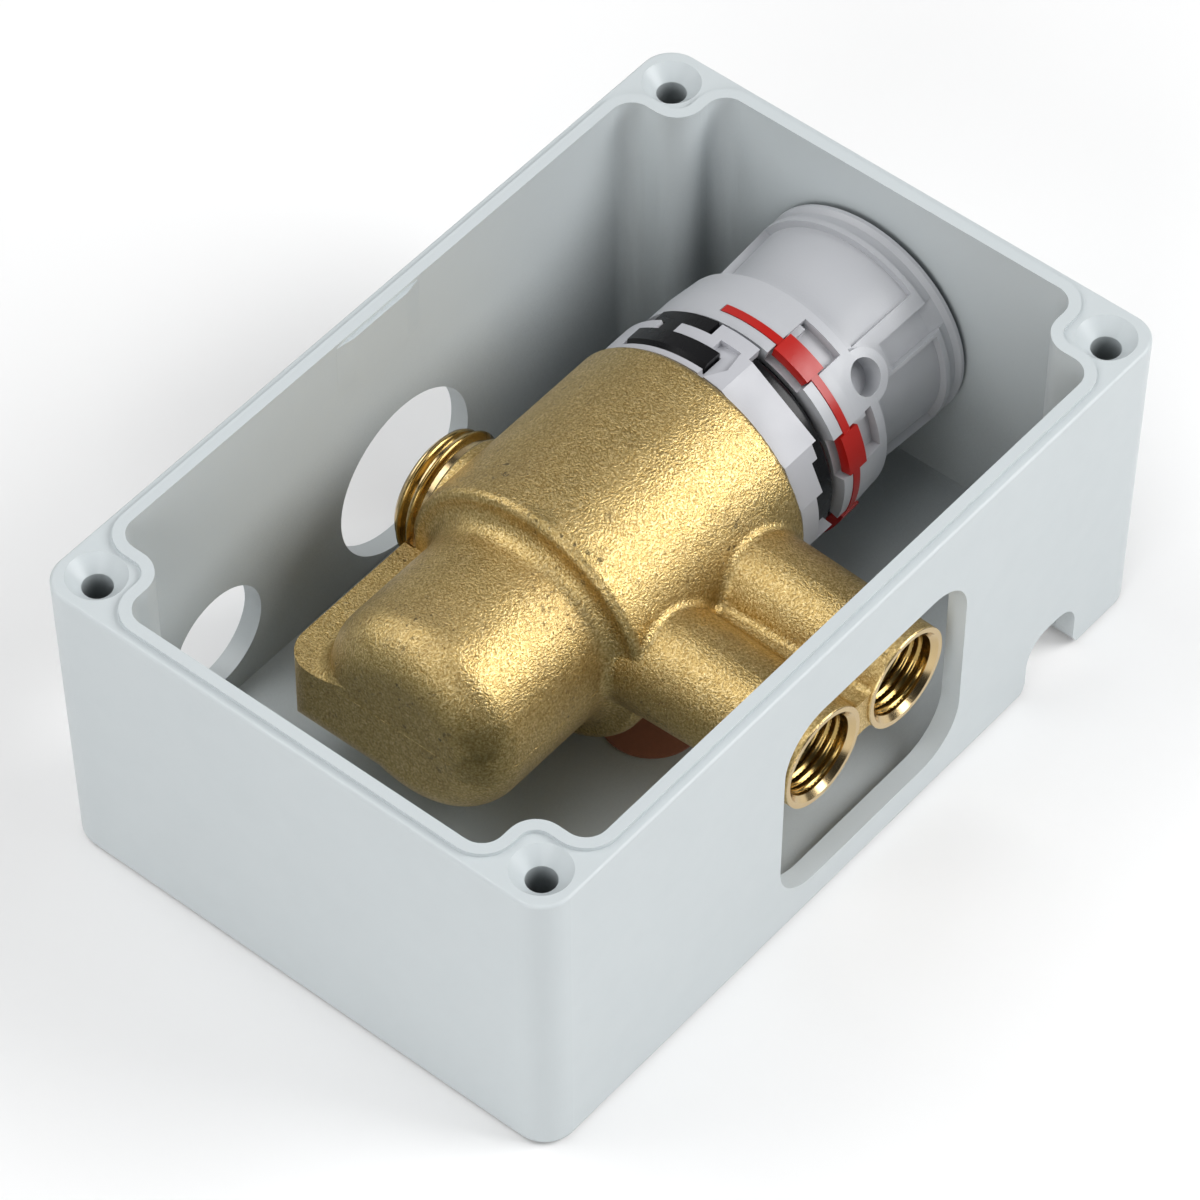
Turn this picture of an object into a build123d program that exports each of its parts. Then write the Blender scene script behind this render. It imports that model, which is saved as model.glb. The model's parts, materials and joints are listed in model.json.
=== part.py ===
from build123d import *
from math import cos, radians, sin
import os

# A thermostatic mixing valve that lies in an open plastic box. Millimetres, +Z up.
# The origin is the middle of the box's underside. X runs along the box towards the knob,
# and the outlet side of the box faces +Y.

# Box
BOX_LENGTH = 135.0
BOX_WIDTH = 90.6
BOX_HEIGHT = 54.2
BOX_DRAFT_X = 1.0
BOX_DRAFT_Y = 0.65
BOX_CORNER_R = 5.0
BOX_FOOT_R = 0.9
BOX_RIM_R = 0.5
WALL = 3.25
FLOOR = 3.0
CAVITY_TAPER = 0.55
POST_REACH_X = 9.45
POST_REACH_Y = 9.85
POST_OUTER_R = 4.5
POST_ROOT_R = 3.4
LIP_WIDTH = 1.8
LIP_HEIGHT = 0.65
CATCH_X = -0.5
CATCH_WIDTH = 11.3
CATCH_THICK = 0.6
CATCH_HEIGHT = 9.0

# Cover screw holes
SCREW_INSET_X = 6.1
SCREW_INSET_Y = 5.9
SCREW_HOLE_R = 2.25
SCREW_HOLE_DEPTH = 28.0
SCREW_MOUTH_R = 4.4
SCREW_MOUTH_DEPTH = 2.2

# Openings in the walls
OUTLET_HOLE_X = 3.7
OUTLET_HOLE_Z = 17.4
OUTLET_HOLE_R = 14.0
SMALL_HOLE_INSET = 30.7
SMALL_HOLE_Z = 16.2
SMALL_HOLE_R = 9.1
WINDOW_X0 = -17.0
WINDOW_X1 = 23.4
WINDOW_Z0 = 6.0
WINDOW_Z1 = 42.6
WINDOW_R = 8.0
NOTCH_INSET = 16.2
NOTCH_WIDTH = 11.5
NOTCH_TOP = 10.7
NOTCH_TOP_R = 4.6
NOTCH_FLARE = 3.0
NOTCH_DEPTH = 9.5
CUT_MARGIN = 1.0

# Label on the floor
LABEL_X = 0.3
LABEL_Y = -7.6
LABEL_R = 7.75
LABEL_THICK = 0.3

# Cradle ribs on the floor under the barrel
CRADLE_XS = (-4.0, 15.0)
CRADLE_THICK = 2.4
CRADLE_HALF_WIDTH = 7.4
CRADLE_SHIFT = 4.0
CRADLE_ANGLE = 35.0
REST_GAP = 0.3

# Valve axis and casting
VALVE_Y = 4.1
VALVE_Z = 28.8
END_X = -40.5
NEAR_R = 16.4
NEAR_END_R = 7.0
SHOULDER_X = -13.6
SHOULDER_ROUND = 1.4
SHOULDER_ROOT = 3.2
MAIN_R = 21.5
MOUTH_X = 22.7
MOUTH_CHAMFER = 0.5
MOUTH_ROUND = 1.2
PAD_STEP = 0.6
PAD_DEPTH = 15.5
PAD_CORNER_R = 5.0
PAD_ROOT_R = 3.0
PAD_LAP = 1.0
BLEND_LAP = 0.1

# Bore of the casting
CHAMBER_R = 15.6
NEAR_BORE_R = 12.9
NEAR_BORE_X = -37.0
END_LAND_X0 = -16.5
END_LAND_X1 = -11.6
END_LAND_R = 12.6
MID_LAND_X0 = 0.8
MID_LAND_X1 = 5.0
MID_LAND_R = 13.4
NUT_THREAD_X = 18.0
NUT_THREAD_R = 17.0
DUCT_X0 = -21.0
DUCT_X1 = 3.0
DUCT_SKIN = 0.6
DUCT_WALL = 1.8
DUCT_FROM = -130.0
DUCT_TO = -98.0
DUCT_MOUTH_X1 = -17.6

# Inlet ports
PORT_XS = (-6.7, 11.8)
PORT_NAMES = ("hot", "cold")
PORT_END_Y = -43.7
PORT_ROOT_R = 8.9
PORT_MOUTH_R = 8.1
PORT_ROOT_FILLET = 1.6
WEB_HALF_HEIGHT = 3.3
WEB_RECESS = 0.4
INLET_THREAD_R = 6.5
INLET_CHAMFER_R = 7.3
INLET_CHAMFER = 0.8
INLET_THREAD_DEPTH = 10.0
INLET_BORE_R = 5.6
INLET_STOP_Y = -17.2
INLET_PASSAGE_R = 3.7

# Outlet spigot
OUTLET_X = -3.0
OUTLET_END_Y = 29.9
OUTLET_R = 10.45
OUTLET_THREAD_Y = 24.5
OUTLET_THREAD_ROOT_R = 9.35
OUTLET_BORE_R = 7.4
OUTLET_CHAMFER = 0.5
OUTLET_FLOOR_Y = 20.9

# Fits
RUNNING = 0.05
SEAL_GAP = 0.02
CUT_BEYOND = 1.0
SEARCH = 0.1
ROOT_SEARCH = 2.0
FULL_TURN = 360.0

# Cartridge
SLEEVE_X0 = -11.7
SLEEVE_X1 = 31.0
SLEEVE_R = 12.0
SHUTTLE_BORE_R = 10.0
SEAT_NEAR_X = -2.6
SEAT_FAR_X = 7.6
SEAT_FAR_R = 7.6
FOLLOWER_BORE_X = 9.6
SLEEVE_HEAD_X = 14.7
WINDOW_LENGTH = 2.6
WINDOW_COUNT = 6
WINDOW_SPAN = 34.0
SEAL_SECTION_R = 0.9
GROOVE_SIDE_GAP = 0.15
OUTLET_SEAT_X = -16.2
OUTLET_SEAT_R = 7.2
OUTLET_LIP_R = 5.0
OUTLET_LIP_THICK = 1.5
END_SEAL_X = -14.0
MID_SEAL_X = 2.9
HEAD_SEAL_X = 16.3

# Shuttle, element and spindle
SHUTTLE_GAP = 0.6
SHUTTLE_WALL = 2.2
SHUTTLE_HUB_R = 5.6
SHUTTLE_HUB_LENGTH = 3.2
SHUTTLE_HUB_X = 0.6
SHUTTLE_SPOKES = 3
SHUTTLE_SPOKE_WIDTH = 2.2
SHUTTLE_SEAL_R = 0.55
BULB_R = 3.5
BULB_X = -12.6
ELEMENT_FLANGE_R = 5.0
ELEMENT_FLANGE_THICK = 1.6
ELEMENT_NECK_R = 2.7
ELEMENT_NECK_X1 = 9.2
PIN_R = 1.0
PIN_X1 = 13.4
RETURN_COIL_R = 4.7
RETURN_WIRE_R = 0.55
RETURN_TURNS = 5
PIN_BORE_X = 6.2
CUP_X0 = 13.45
CUP_X1 = 14.8
CUP_R = 5.5
CUP_LIP_R = 4.6
CUP_STEM_R = 1.6
CUP_STEM_X1 = 18.5
FOLLOWER_X0 = 12.6
FOLLOWER_X1 = 24.0
FOLLOWER_R = 8.0
FOLLOWER_HOLLOW_R = 5.6
FOLLOWER_HOLLOW_X1 = 20.6
KEY_HALF_ANGLE = 8.0
KEY_DEPTH = 0.8
SPINDLE_THREAD_R = 3.0
SPINDLE_THREAD_X0 = 20.9
SPINDLE_FLANGE_X0 = 25.0
SPINDLE_FLANGE_X1 = 29.0
SPINDLE_FLANGE_R = 9.0
SPINDLE_STEM_R = 4.5
SPINDLE_STEM_X1 = 38.0
SPINDLE_FLAT = 3.8
SPINDLE_FLAT_X0 = 31.6
SPINDLE_SEAL_X = 27.0
SPINDLE_SEAL_R = 0.7
SPINDLE_TAP_R = 1.75
SPINDLE_TAP_X = 28.0
CLIP_THICK = 0.9
CLIP_R = 9.8
CLIP_BORE_R = 6.4
CLIP_GAP = 22.0
OVERLOAD_COIL_R = 4.2
OVERLOAD_WIRE_R = 0.6
OVERLOAD_TURNS = 4

# Head
NUT_BODY_R = 16.0
NUT_X1 = 30.6
COLLAR_X0 = 22.9
COLLAR_X1 = 29.9
COLLAR_STEP = 0.8
COLLAR_TAB_X1 = 32.4
COLLAR_TAB_FROM = -6.0
COLLAR_TAB_TO = 13.0
COLLAR_NOTCH_R = 19.7
COLLAR_NOTCH = ((22.9, 3.0), (22.9, 5.5), (26.2, 10.5), (29.9, 9.0), (29.9, -1.0), (27.9, -1.0),
                (27.9, 3.0))
COLLAR_FLATS = ((15.0, 55.0), (55.0, 76.0), (100.0, 140.0), (150.0, 190.0), (200.0, 240.0))
COLLAR_STEPS = ((55.0, 62.0, 29.0), (62.0, 76.0, 27.8), (76.0, 100.0, 26.4), (190.0, 200.0, 26.4))
BLACK_R = 18.9
BLACK_X0 = 23.1
BLACK_X1 = 32.4
BLACK_ROUND = 1.0
BLACK_BAR_X0 = 24.1
BLACK_BAR_X1 = 27.7
BLACK_BAR_FROM = -40.0
BLACK_BAR_TO = 3.0
BLACK_BAR_PROUD = 0.2
BLACK_BAR_BEVEL = 0.9
BLACK_NECK_FROM = -32.0
BLACK_NECK_TO = -22.0
BLACK_TOP_X0 = 30.1
BLACK_TOP_X1 = 32.9
BLACK_TOP_FROM = -41.0
BLACK_TOP_TO = -9.0
BLACK_TOP_R = 20.2
INTERLOCK_GAP = 0.15
INTERLOCK_ANGLE = 0.8
HOOK_ROOT = 1.0

# Knob
KNOB_X0 = 33.4
KNOB_X1 = 63.0
KNOB_END_GAP = 1.25
SKIRT_R = 19.8
SKIRT_BAND_X1 = 38.7
SKIRT_RIM_R = 19.3
SKIRT_RIM_X1 = 43.8
SKIRT_BORE_R = 17.0
SKIRT_BORE_X1 = 39.6
DRUM_X0 = 44.8
DRUM_R = 17.6
LAND_X1 = 59.8
LAND_R = 18.4
COVE_X0 = 60.2
COVE_X1 = 61.6
COVE_R = 17.8
FLANGE_X0 = 62.4
FLANGE_R = 18.4
DRUM_BORE_R = 14.3
KNOB_WEB_X1 = 46.0
HUB_R = 7.4
HUB_X0 = 31.6
PANEL_R0 = 16.4
PANEL_R1 = 17.2
PANEL_X1 = 58.9
PANELS = ((45.6, -58.0, 38.0), (45.6, 61.5, 118.0), (45.6, 124.0, 208.0), (45.6, 214.0, 296.0))
OPEN_PANEL = (49.6, 45.5, 59.8)
OPEN_PANEL_R = 16.7
HOLE_X = 43.7
HOLE_ANGLE = 51.0
HOLE_R = 2.85
HOLE_FLOOR_R = 15.75
HOLE_BOSS_R = 4.3
SLOT_X1 = 42.1
SLOT_FLOOR_R = 17.9
SLOT_HALF = 10.5
SLOT_FIRST = 25.8
SLOT_PITCH = 47.0
SLOT_COUNT = 5
TOOTH_X1 = 41.0
TOOTH_ANGLE = 3.0
TOOTH_R = 19.1

# Red ring
BAND_X0 = 35.4
BAND_X1 = 36.8
BAND_FROM = -14.0
BAND_TO = 228.0
BAND_R = 19.95
BAND_FLOOR_R = 18.5
TAB_X0 = 34.4
TAB_X1 = 38.1
TAB_R = 20.2
TAB_HALF = 9.6
BAND_SIDE_GAP = 0.05

# Screw that holds the knob
KNOB_SCREW_HEAD_R = 3.9
KNOB_SCREW_HEAD_THICK = 2.8
KNOB_SCREW_HEAD_GAP = 0.2
KNOB_SCREW_SINK = 3.2
KNOB_SCREW_R = 2.0
KNOB_SCREW_LENGTH = 12.0
KNOB_SCREW_SOCKET_R = 1.6

# Check valves and screens
CHECK_Y0 = -31.6
CHECK_Y1 = -17.4
CHECK_BORE_R = 4.0
CHECK_SEAT_R = 3.0
CHECK_SEAT_THICK = 1.3
CHECK_SEAL_Y = -25.5
CHECK_SEAL_R = 0.47
POPPET_R = 3.7
POPPET_GAP = 0.05
POPPET_THICK = 1.2
POPPET_STEM_R = 0.9
POPPET_STEM_Y1 = -19.6
GUIDE_Y0 = -21.4
GUIDE_Y1 = -19.9
GUIDE_HUB_R = 2.0
GUIDE_SPOKES = 3
GUIDE_SPOKE_WIDTH = 1.2
GUIDE_RIM = 0.5
CHECK_COIL_R = 1.75
CHECK_WIRE_R = 0.3
CHECK_TURNS = 4
SCREEN_Y0 = -33.6
SCREEN_THICK = 0.5
SCREEN_RIM = 1.6
SCREEN_HOLE_R = 0.55
SCREEN_RING_RADII = (0.0, 1.9, 3.7)
SCREEN_RING_COUNTS = (1, 6, 12)

# The valve lies in the box with its knob's end this close to the end wall
VALVE_X = BOX_LENGTH / 2 - WALL - KNOB_END_GAP - KNOB_X1
SECTION = Plane(origin=(VALVE_X, VALVE_Y, VALVE_Z), x_dir=(1, 0, 0), z_dir=(0, -1, 0))
VALVE_AXIS = Axis((VALVE_X, VALVE_Y, VALVE_Z), (1, 0, 0))


def station(x):
    # A plane across the valve axis; its polar angle 0 is up and grows towards the inlet side
    return Plane(origin=(VALVE_X + x, VALVE_Y, VALVE_Z), x_dir=(0, 0, 1), z_dir=(1, 0, 0))


def tangent(x, angle, r):
    # A plane that touches the cylinder of that radius about the valve axis, facing outwards
    turn = radians(angle)
    return Plane(origin=(VALVE_X + x, VALVE_Y - r * sin(turn), VALVE_Z + r * cos(turn)), x_dir=(1, 0, 0),
                 z_dir=(0, -sin(turn), cos(turn)))


def port_plane(x, y):
    # A plane across an inlet port, facing inwards
    return Plane(origin=(VALVE_X + x, y, VALVE_Z), x_dir=(1, 0, 0), z_dir=(0, 1, 0))


def port_section(x):
    # A plane through a port's axis; its local x runs inwards along the port and its local y is the radius
    return Plane(origin=(VALVE_X + x, 0, VALVE_Z), x_dir=(0, 1, 0), z_dir=(1, 0, 0))


def port_axis(x):
    return Axis((VALVE_X + x, 0, VALVE_Z), (0, 1, 0))


def turned(outline, mode=Mode.ADD, start=0.0, end=FULL_TURN):
    # A body turned about the valve axis from (x, radius) points, all round or between two angles
    with BuildSketch(SECTION.rotated((start, 0, 0))) as profile:
        with BuildLine():
            Polyline(*outline, close=True)
        make_face()
    revolve(profile.sketch, axis=VALVE_AXIS, revolution_arc=end - start, mode=mode)


def port_turned(x, outline, mode=Mode.ADD):
    # A body turned about a port's axis from (y, radius) points
    with BuildSketch(port_section(x)) as profile:
        with BuildLine():
            Polyline(*outline, close=True)
        make_face()
    revolve(profile.sketch, axis=port_axis(x), mode=mode)


def sector(x0, x1, r0, r1, a0, a1, mode=Mode.ADD):
    # A piece of a ring about the valve axis between two stations, two radii and two angles
    with BuildSketch(station(x0)) as profile:
        with BuildLine():
            outer = CenterArc((0, 0), r1, a0, a1 - a0)
            inner = CenterArc((0, 0), r0, a0, a1 - a0)
            Line(outer @ 0, inner @ 0)
            Line(outer @ 1, inner @ 1)
        make_face()
    extrude(profile.sketch, amount=x1 - x0, mode=mode)


def o_ring(x, major, minor):
    # An O-ring about the valve axis
    with BuildSketch(SECTION) as profile:
        with Locations((x, major)):
            Circle(minor)
    revolve(profile.sketch, axis=VALVE_AXIS)


def coil(start, direction, mean_r, wire_r, length, turns):
    # A spring of a six-sided wire from its start point along a direction
    with BuildLine() as path:
        Helix(pitch=length / turns, height=length, radius=mean_r, center=start, direction=direction)
    with BuildSketch(Plane(origin=path.line @ 0, z_dir=path.line % 0)) as wire:
        RegularPolygon(wire_r, 6)
    sweep(wire.sketch, path=path.line, is_frenet=True)


def seal_groove(x, bore_r):
    # A groove for one of the cartridge's O-rings in a land of that bore
    floor_r = bore_r - 2 * SEAL_GAP - 2 * SEAL_SECTION_R
    half = SEAL_SECTION_R + GROOVE_SIDE_GAP
    turned(((x - half, floor_r), (x - half, bore_r), (x + half, bore_r), (x + half, floor_r)),
           mode=Mode.SUBTRACT)


def is_port_root(edge):
    # True for an edge where a port or the web leaves the barrel, or where the web leaves a port
    middle = edge.center()
    seam = edge.geom_type == GeomType.LINE and edge.length > PORT_MOUTH_R
    return PORT_END_Y + ROOT_SEARCH < middle.Y < VALVE_Y - MAIN_R + ROOT_SEARCH and not seam


def finish(piece, name):
    piece.label = name
    export_step(piece, f"parts/{name}.step")
    print(name, "solids", len(piece.solids()), "volume", round(piece.volume, 1))


os.makedirs("parts", exist_ok=True)

half_length = BOX_LENGTH / 2
half_width = BOX_WIDTH / 2
cavity_x = half_length - WALL
cavity_y = half_width - WALL
post_x = cavity_x - POST_REACH_X
post_y = cavity_y - POST_REACH_Y
screw_x = half_length - SCREW_INSET_X
screw_y = half_width - SCREW_INSET_Y
notch_x1 = half_length - NOTCH_INSET
notch_x0 = notch_x1 - NOTCH_WIDTH


def cavity_plan(height, grow=0.0):
    # The inside of the box in plan: a rectangle whose corners are taken by the screw posts
    corners = []
    for sx, sy in ((1, -1), (1, 1), (-1, 1), (-1, -1)):
        turn = [(sx * post_x, sy * cavity_y), (sx * post_x, sy * post_y), (sx * cavity_x, sy * post_y)]
        corners += turn if sx * sy < 0 else turn[::-1]
    with BuildSketch(Plane.XY.offset(height)) as plan:
        with BuildLine():
            Polyline(*corners, close=True)
        make_face()
        posts = plan.vertices().filter_by(lambda v: abs(v.X) < cavity_x - SEARCH)
        posts = posts.filter_by(lambda v: abs(v.Y) < cavity_y - SEARCH)
        fillet(posts, POST_OUTER_R)
        roots = plan.vertices().filter_by(
            lambda v: min(abs(abs(v.X) - post_x), abs(abs(v.Y) - post_y)) < SEARCH)
        roots = roots.filter_by(lambda v: (abs(v.X) > cavity_x - SEARCH) != (abs(v.Y) > cavity_y - SEARCH))
        fillet(roots, POST_ROOT_R)
        if grow:
            offset(amount=grow, kind=Kind.ARC)
    return plan.sketch


# Box shell
with BuildPart() as box_shell:
    with BuildSketch(Plane.XY):
        RectangleRounded(BOX_LENGTH - 2 * BOX_DRAFT_X, BOX_WIDTH - 2 * BOX_DRAFT_Y, BOX_CORNER_R)
    with BuildSketch(Plane.XY.offset(BOX_HEIGHT)):
        RectangleRounded(BOX_LENGTH, BOX_WIDTH, BOX_CORNER_R)
    loft(ruled=True)
    fillet(box_shell.edges().group_by(Axis.Z)[0], BOX_FOOT_R)
    fillet(box_shell.edges().group_by(Axis.Z)[-1], BOX_RIM_R)
    # Raised lip around the mouth
    extrude(cavity_plan(BOX_HEIGHT, LIP_WIDTH), amount=LIP_HEIGHT)
    # Cavity
    extrude(cavity_plan(BOX_HEIGHT + LIP_HEIGHT), amount=-(BOX_HEIGHT + LIP_HEIGHT - FLOOR),
            taper=CAVITY_TAPER, mode=Mode.SUBTRACT)
    # Catch on the inner side of the outlet wall
    with BuildSketch(Plane.XY.offset(BOX_HEIGHT)):
        with Locations((CATCH_X, cavity_y)):
            Rectangle(CATCH_WIDTH, 2 * CATCH_THICK)
    extrude(amount=-CATCH_HEIGHT)
    # Cradle ribs
    for x in CRADLE_XS:
        with BuildSketch(station(x)):
            with Locations((FLOOR - VALVE_Z, -CRADLE_SHIFT)):
                Rectangle(VALVE_Z - FLOOR, 2 * CRADLE_HALF_WIDTH, align=(Align.MIN, Align.CENTER))
            Circle(MAIN_R + REST_GAP, mode=Mode.SUBTRACT)
            with Locations((0, -CRADLE_SHIFT)):
                Rectangle(2 * MAIN_R * cos(radians(CRADLE_ANGLE)), 2 * MAIN_R, mode=Mode.SUBTRACT)
        extrude(amount=CRADLE_THICK)
    # Screw holes
    with Locations(Plane.XY.offset(BOX_HEIGHT)):
        with GridLocations(2 * screw_x, 2 * screw_y, 2, 2):
            Hole(SCREW_HOLE_R, SCREW_HOLE_DEPTH)
            Cone(SCREW_HOLE_R, SCREW_MOUTH_R, SCREW_MOUTH_DEPTH, align=(Align.CENTER, Align.CENTER,
                                                                        Align.MAX), mode=Mode.SUBTRACT)
    # Holes in the outlet wall
    with BuildSketch(Plane.XZ.offset(-half_width - CUT_MARGIN)):
        with Locations((VALVE_X + OUTLET_HOLE_X, OUTLET_HOLE_Z)):
            Circle(OUTLET_HOLE_R)
        with Locations((SMALL_HOLE_INSET - half_length, SMALL_HOLE_Z)):
            Circle(SMALL_HOLE_R)
    extrude(amount=WALL + 2 * CUT_MARGIN, mode=Mode.SUBTRACT)
    # Window in the inlet wall
    with BuildSketch(Plane.XZ.offset(half_width + CUT_MARGIN)):
        with Locations((VALVE_X + (WINDOW_X0 + WINDOW_X1) / 2, (WINDOW_Z0 + WINDOW_Z1) / 2)):
            RectangleRounded(WINDOW_X1 - WINDOW_X0, WINDOW_Z1 - WINDOW_Z0, WINDOW_R)
    extrude(amount=-(WALL + 2 * CUT_MARGIN), mode=Mode.SUBTRACT)
    # Notch at the foot of the inlet wall
    with BuildSketch(Plane.XZ.offset(half_width + CUT_MARGIN)) as notch:
        with Locations((notch_x0, 0)):
            Rectangle(NOTCH_WIDTH, NOTCH_TOP, align=Align.MIN)
        fillet(notch.vertices().group_by(Axis.Y)[-1], NOTCH_TOP_R)
        for x, side in ((notch_x0, -1), (notch_x1, 1)):
            with BuildLine():
                Line((x, 0), (x + side * NOTCH_FLARE, 0))
                Line((x, 0), (x, NOTCH_FLARE))
                CenterArc((x + side * NOTCH_FLARE, NOTCH_FLARE), NOTCH_FLARE, 180 if side > 0 else 270, 90)
            make_face()
    extrude(amount=-(NOTCH_DEPTH + CUT_MARGIN), mode=Mode.SUBTRACT)
finish(box_shell.part, "box_shell")

# Label on the floor
with BuildPart() as inspection_label:
    with BuildSketch(Plane.XY.offset(FLOOR)):
        with Locations((VALVE_X + LABEL_X, LABEL_Y)):
            Circle(LABEL_R)
    extrude(amount=LABEL_THICK)
finish(inspection_label.part, "inspection_label")

# Valve casting
pad_y = VALVE_Y + MAIN_R + PAD_STEP
near_end_x = END_X + NEAR_END_R
cove_y = ((NEAR_R + PAD_ROOT_R - BLEND_LAP) ** 2 - PAD_ROOT_R ** 2) ** 0.5
with BuildPart() as valve_body:
    # Block beside the near barrel, below the parting plane
    with BuildSketch(Plane.XY.offset(VALVE_Z)) as block_plan:
        with Locations((VALVE_X + END_X, VALVE_Y)):
            Rectangle(SHOULDER_X + PAD_LAP - END_X, pad_y - VALVE_Y, align=Align.MIN)
        fillet(block_plan.vertices().group_by(Axis.Y)[-1].group_by(Axis.X)[0], PAD_CORNER_R)
    extrude(amount=-PAD_DEPTH)
    # Its blend into the barrel, along the side and round the closed end
    with BuildSketch(station(near_end_x)) as blend:
        with BuildLine():
            Polyline((0, 0), (0, -cove_y), (PAD_ROOT_R, -cove_y), close=True)
        make_face()
        with Locations((PAD_ROOT_R, -cove_y)):
            Circle(PAD_ROOT_R, mode=Mode.SUBTRACT)
    extrude(amount=SHOULDER_X - near_end_x)
    end_axis = Axis((VALVE_X + near_end_x, VALVE_Y + NEAR_R - NEAR_END_R, VALVE_Z), (0, 0, 1))
    with BuildSketch(station(near_end_x)) as end_blend:
        add(blend.sketch_local)
        with Locations((0, NEAR_END_R - NEAR_R)):
            Rectangle(2 * PAD_ROOT_R, NEAR_R, align=(Align.CENTER, Align.MIN), mode=Mode.SUBTRACT)
    revolve(axis=end_axis, revolution_arc=FULL_TURN / 4)
    # The block's side view, with its lower corner rounded as the barrel's end is
    with BuildSketch(Plane.XZ.offset(-VALVE_Y)) as block_side:
        with Locations((VALVE_X + END_X, VALVE_Z - PAD_DEPTH)):
            Rectangle(SHOULDER_X + PAD_LAP - END_X, PAD_DEPTH + PAD_ROOT_R, align=Align.MIN)
        fillet(block_side.vertices().group_by(Axis.Y)[0].group_by(Axis.X)[0], NEAR_END_R)
    extrude(amount=VALVE_Y - pad_y, mode=Mode.INTERSECT)
    # Barrel with its rounded closed end and the shoulder
    with BuildSketch(SECTION) as barrel:
        with BuildLine():
            Polyline((END_X, 0), (END_X, NEAR_R), (SHOULDER_X, NEAR_R), (SHOULDER_X, MAIN_R),
                     (MOUTH_X, MAIN_R), (MOUTH_X, 0), close=True)
        make_face()
        for x, r, radius in ((END_X, NEAR_R, NEAR_END_R), (SHOULDER_X, NEAR_R, SHOULDER_ROOT),
                             (SHOULDER_X, MAIN_R, SHOULDER_ROUND), (MOUTH_X, MAIN_R, MOUTH_ROUND)):
            fillet(barrel.vertices().sort_by_distance((x, r, 0))[:1], radius)
    revolve(axis=VALVE_AXIS)
    # Outlet spigot
    for end_y, r in ((OUTLET_THREAD_Y, OUTLET_R), (OUTLET_END_Y, OUTLET_THREAD_ROOT_R)):
        with BuildSketch(Plane.XZ.offset(-VALVE_Y)):
            with Locations((VALVE_X + OUTLET_X, VALVE_Z)):
                Circle(r)
        extrude(amount=VALVE_Y - end_y)
    # Inlet ports and the web between them
    web_x = VALVE_X + sum(PORT_XS) / 2
    for x in PORT_XS:
        port_turned(x, ((PORT_END_Y, 0), (PORT_END_Y, PORT_MOUTH_R), (VALVE_Y - NEAR_R, PORT_ROOT_R),
                        (VALVE_Y - NEAR_R, 0)))
    with BuildSketch(Plane.XZ.offset(-PORT_END_Y - WEB_RECESS)):
        with Locations((web_x, VALVE_Z)):
            Rectangle(PORT_XS[1] - PORT_XS[0], 2 * WEB_HALF_HEIGHT)
    extrude(amount=-(VALVE_Y - NEAR_R - PORT_END_Y - WEB_RECESS))
    # Blends where the web and the ports grow out of the barrel
    fillet(valve_body.edges().filter_by(is_port_root), PORT_ROOT_FILLET)
    # Bore: near chamber, two lands, two inlet chambers and the nut's thread
    turned(((NEAR_BORE_X, 0), (NEAR_BORE_X, NEAR_BORE_R), (END_LAND_X0, NEAR_BORE_R),
            (END_LAND_X0, END_LAND_R), (END_LAND_X1, END_LAND_R), (END_LAND_X1, CHAMBER_R),
            (MID_LAND_X0, CHAMBER_R), (MID_LAND_X0, MID_LAND_R), (MID_LAND_X1, MID_LAND_R),
            (MID_LAND_X1, CHAMBER_R), (NUT_THREAD_X, CHAMBER_R), (NUT_THREAD_X, NUT_THREAD_R),
            (MOUTH_X - MOUTH_CHAMFER, NUT_THREAD_R), (MOUTH_X, NUT_THREAD_R + MOUTH_CHAMFER),
            (MOUTH_X, 0)), mode=Mode.SUBTRACT)
    # Inlet bores
    for x in PORT_XS:
        port_turned(x, ((PORT_END_Y, 0), (PORT_END_Y, INLET_CHAMFER_R),
                        (PORT_END_Y + INLET_CHAMFER, INLET_THREAD_R),
                        (PORT_END_Y + INLET_THREAD_DEPTH, INLET_THREAD_R),
                        (PORT_END_Y + INLET_THREAD_DEPTH, INLET_BORE_R), (INLET_STOP_Y, INLET_BORE_R),
                        (INLET_STOP_Y, INLET_PASSAGE_R), (VALVE_Y - MID_LAND_R, INLET_PASSAGE_R),
                        (VALVE_Y - MID_LAND_R, 0)), mode=Mode.SUBTRACT)
    # Duct from the near chamber to the outlet
    duct_r = NEAR_R + DUCT_SKIN
    sector(DUCT_X0, DUCT_X1, duct_r, MAIN_R - DUCT_WALL, DUCT_FROM, DUCT_TO, mode=Mode.SUBTRACT)
    sector(DUCT_X0, DUCT_MOUTH_X1, NEAR_BORE_R - CUT_BEYOND, duct_r, DUCT_FROM, DUCT_TO, mode=Mode.SUBTRACT)
    with BuildSketch(Plane.XZ.offset(-OUTLET_FLOOR_Y)):
        with Locations((VALVE_X + OUTLET_X, VALVE_Z)):
            Circle(OUTLET_BORE_R)
    extrude(amount=OUTLET_FLOOR_Y - OUTLET_END_Y, mode=Mode.SUBTRACT)
    rims = valve_body.edges().filter_by(GeomType.CIRCLE)
    rims = rims.filter_by(lambda e: abs(e.center().Y - OUTLET_END_Y) < SEARCH)
    chamfer(rims.sort_by(SortBy.RADIUS)[-1:], OUTLET_CHAMFER)
finish(valve_body.part, "valve_body")

# Retaining nut
with BuildPart() as cartridge_nut:
    turned(((NUT_THREAD_X + RUNNING, SLEEVE_R + RUNNING), (NUT_THREAD_X + RUNNING, NUT_THREAD_R - RUNNING),
            (MOUTH_X, NUT_THREAD_R - RUNNING), (MOUTH_X, NUT_BODY_R), (NUT_X1, NUT_BODY_R),
            (NUT_X1, SLEEVE_R + RUNNING)))
finish(cartridge_nut.part, "cartridge_nut")

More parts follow.
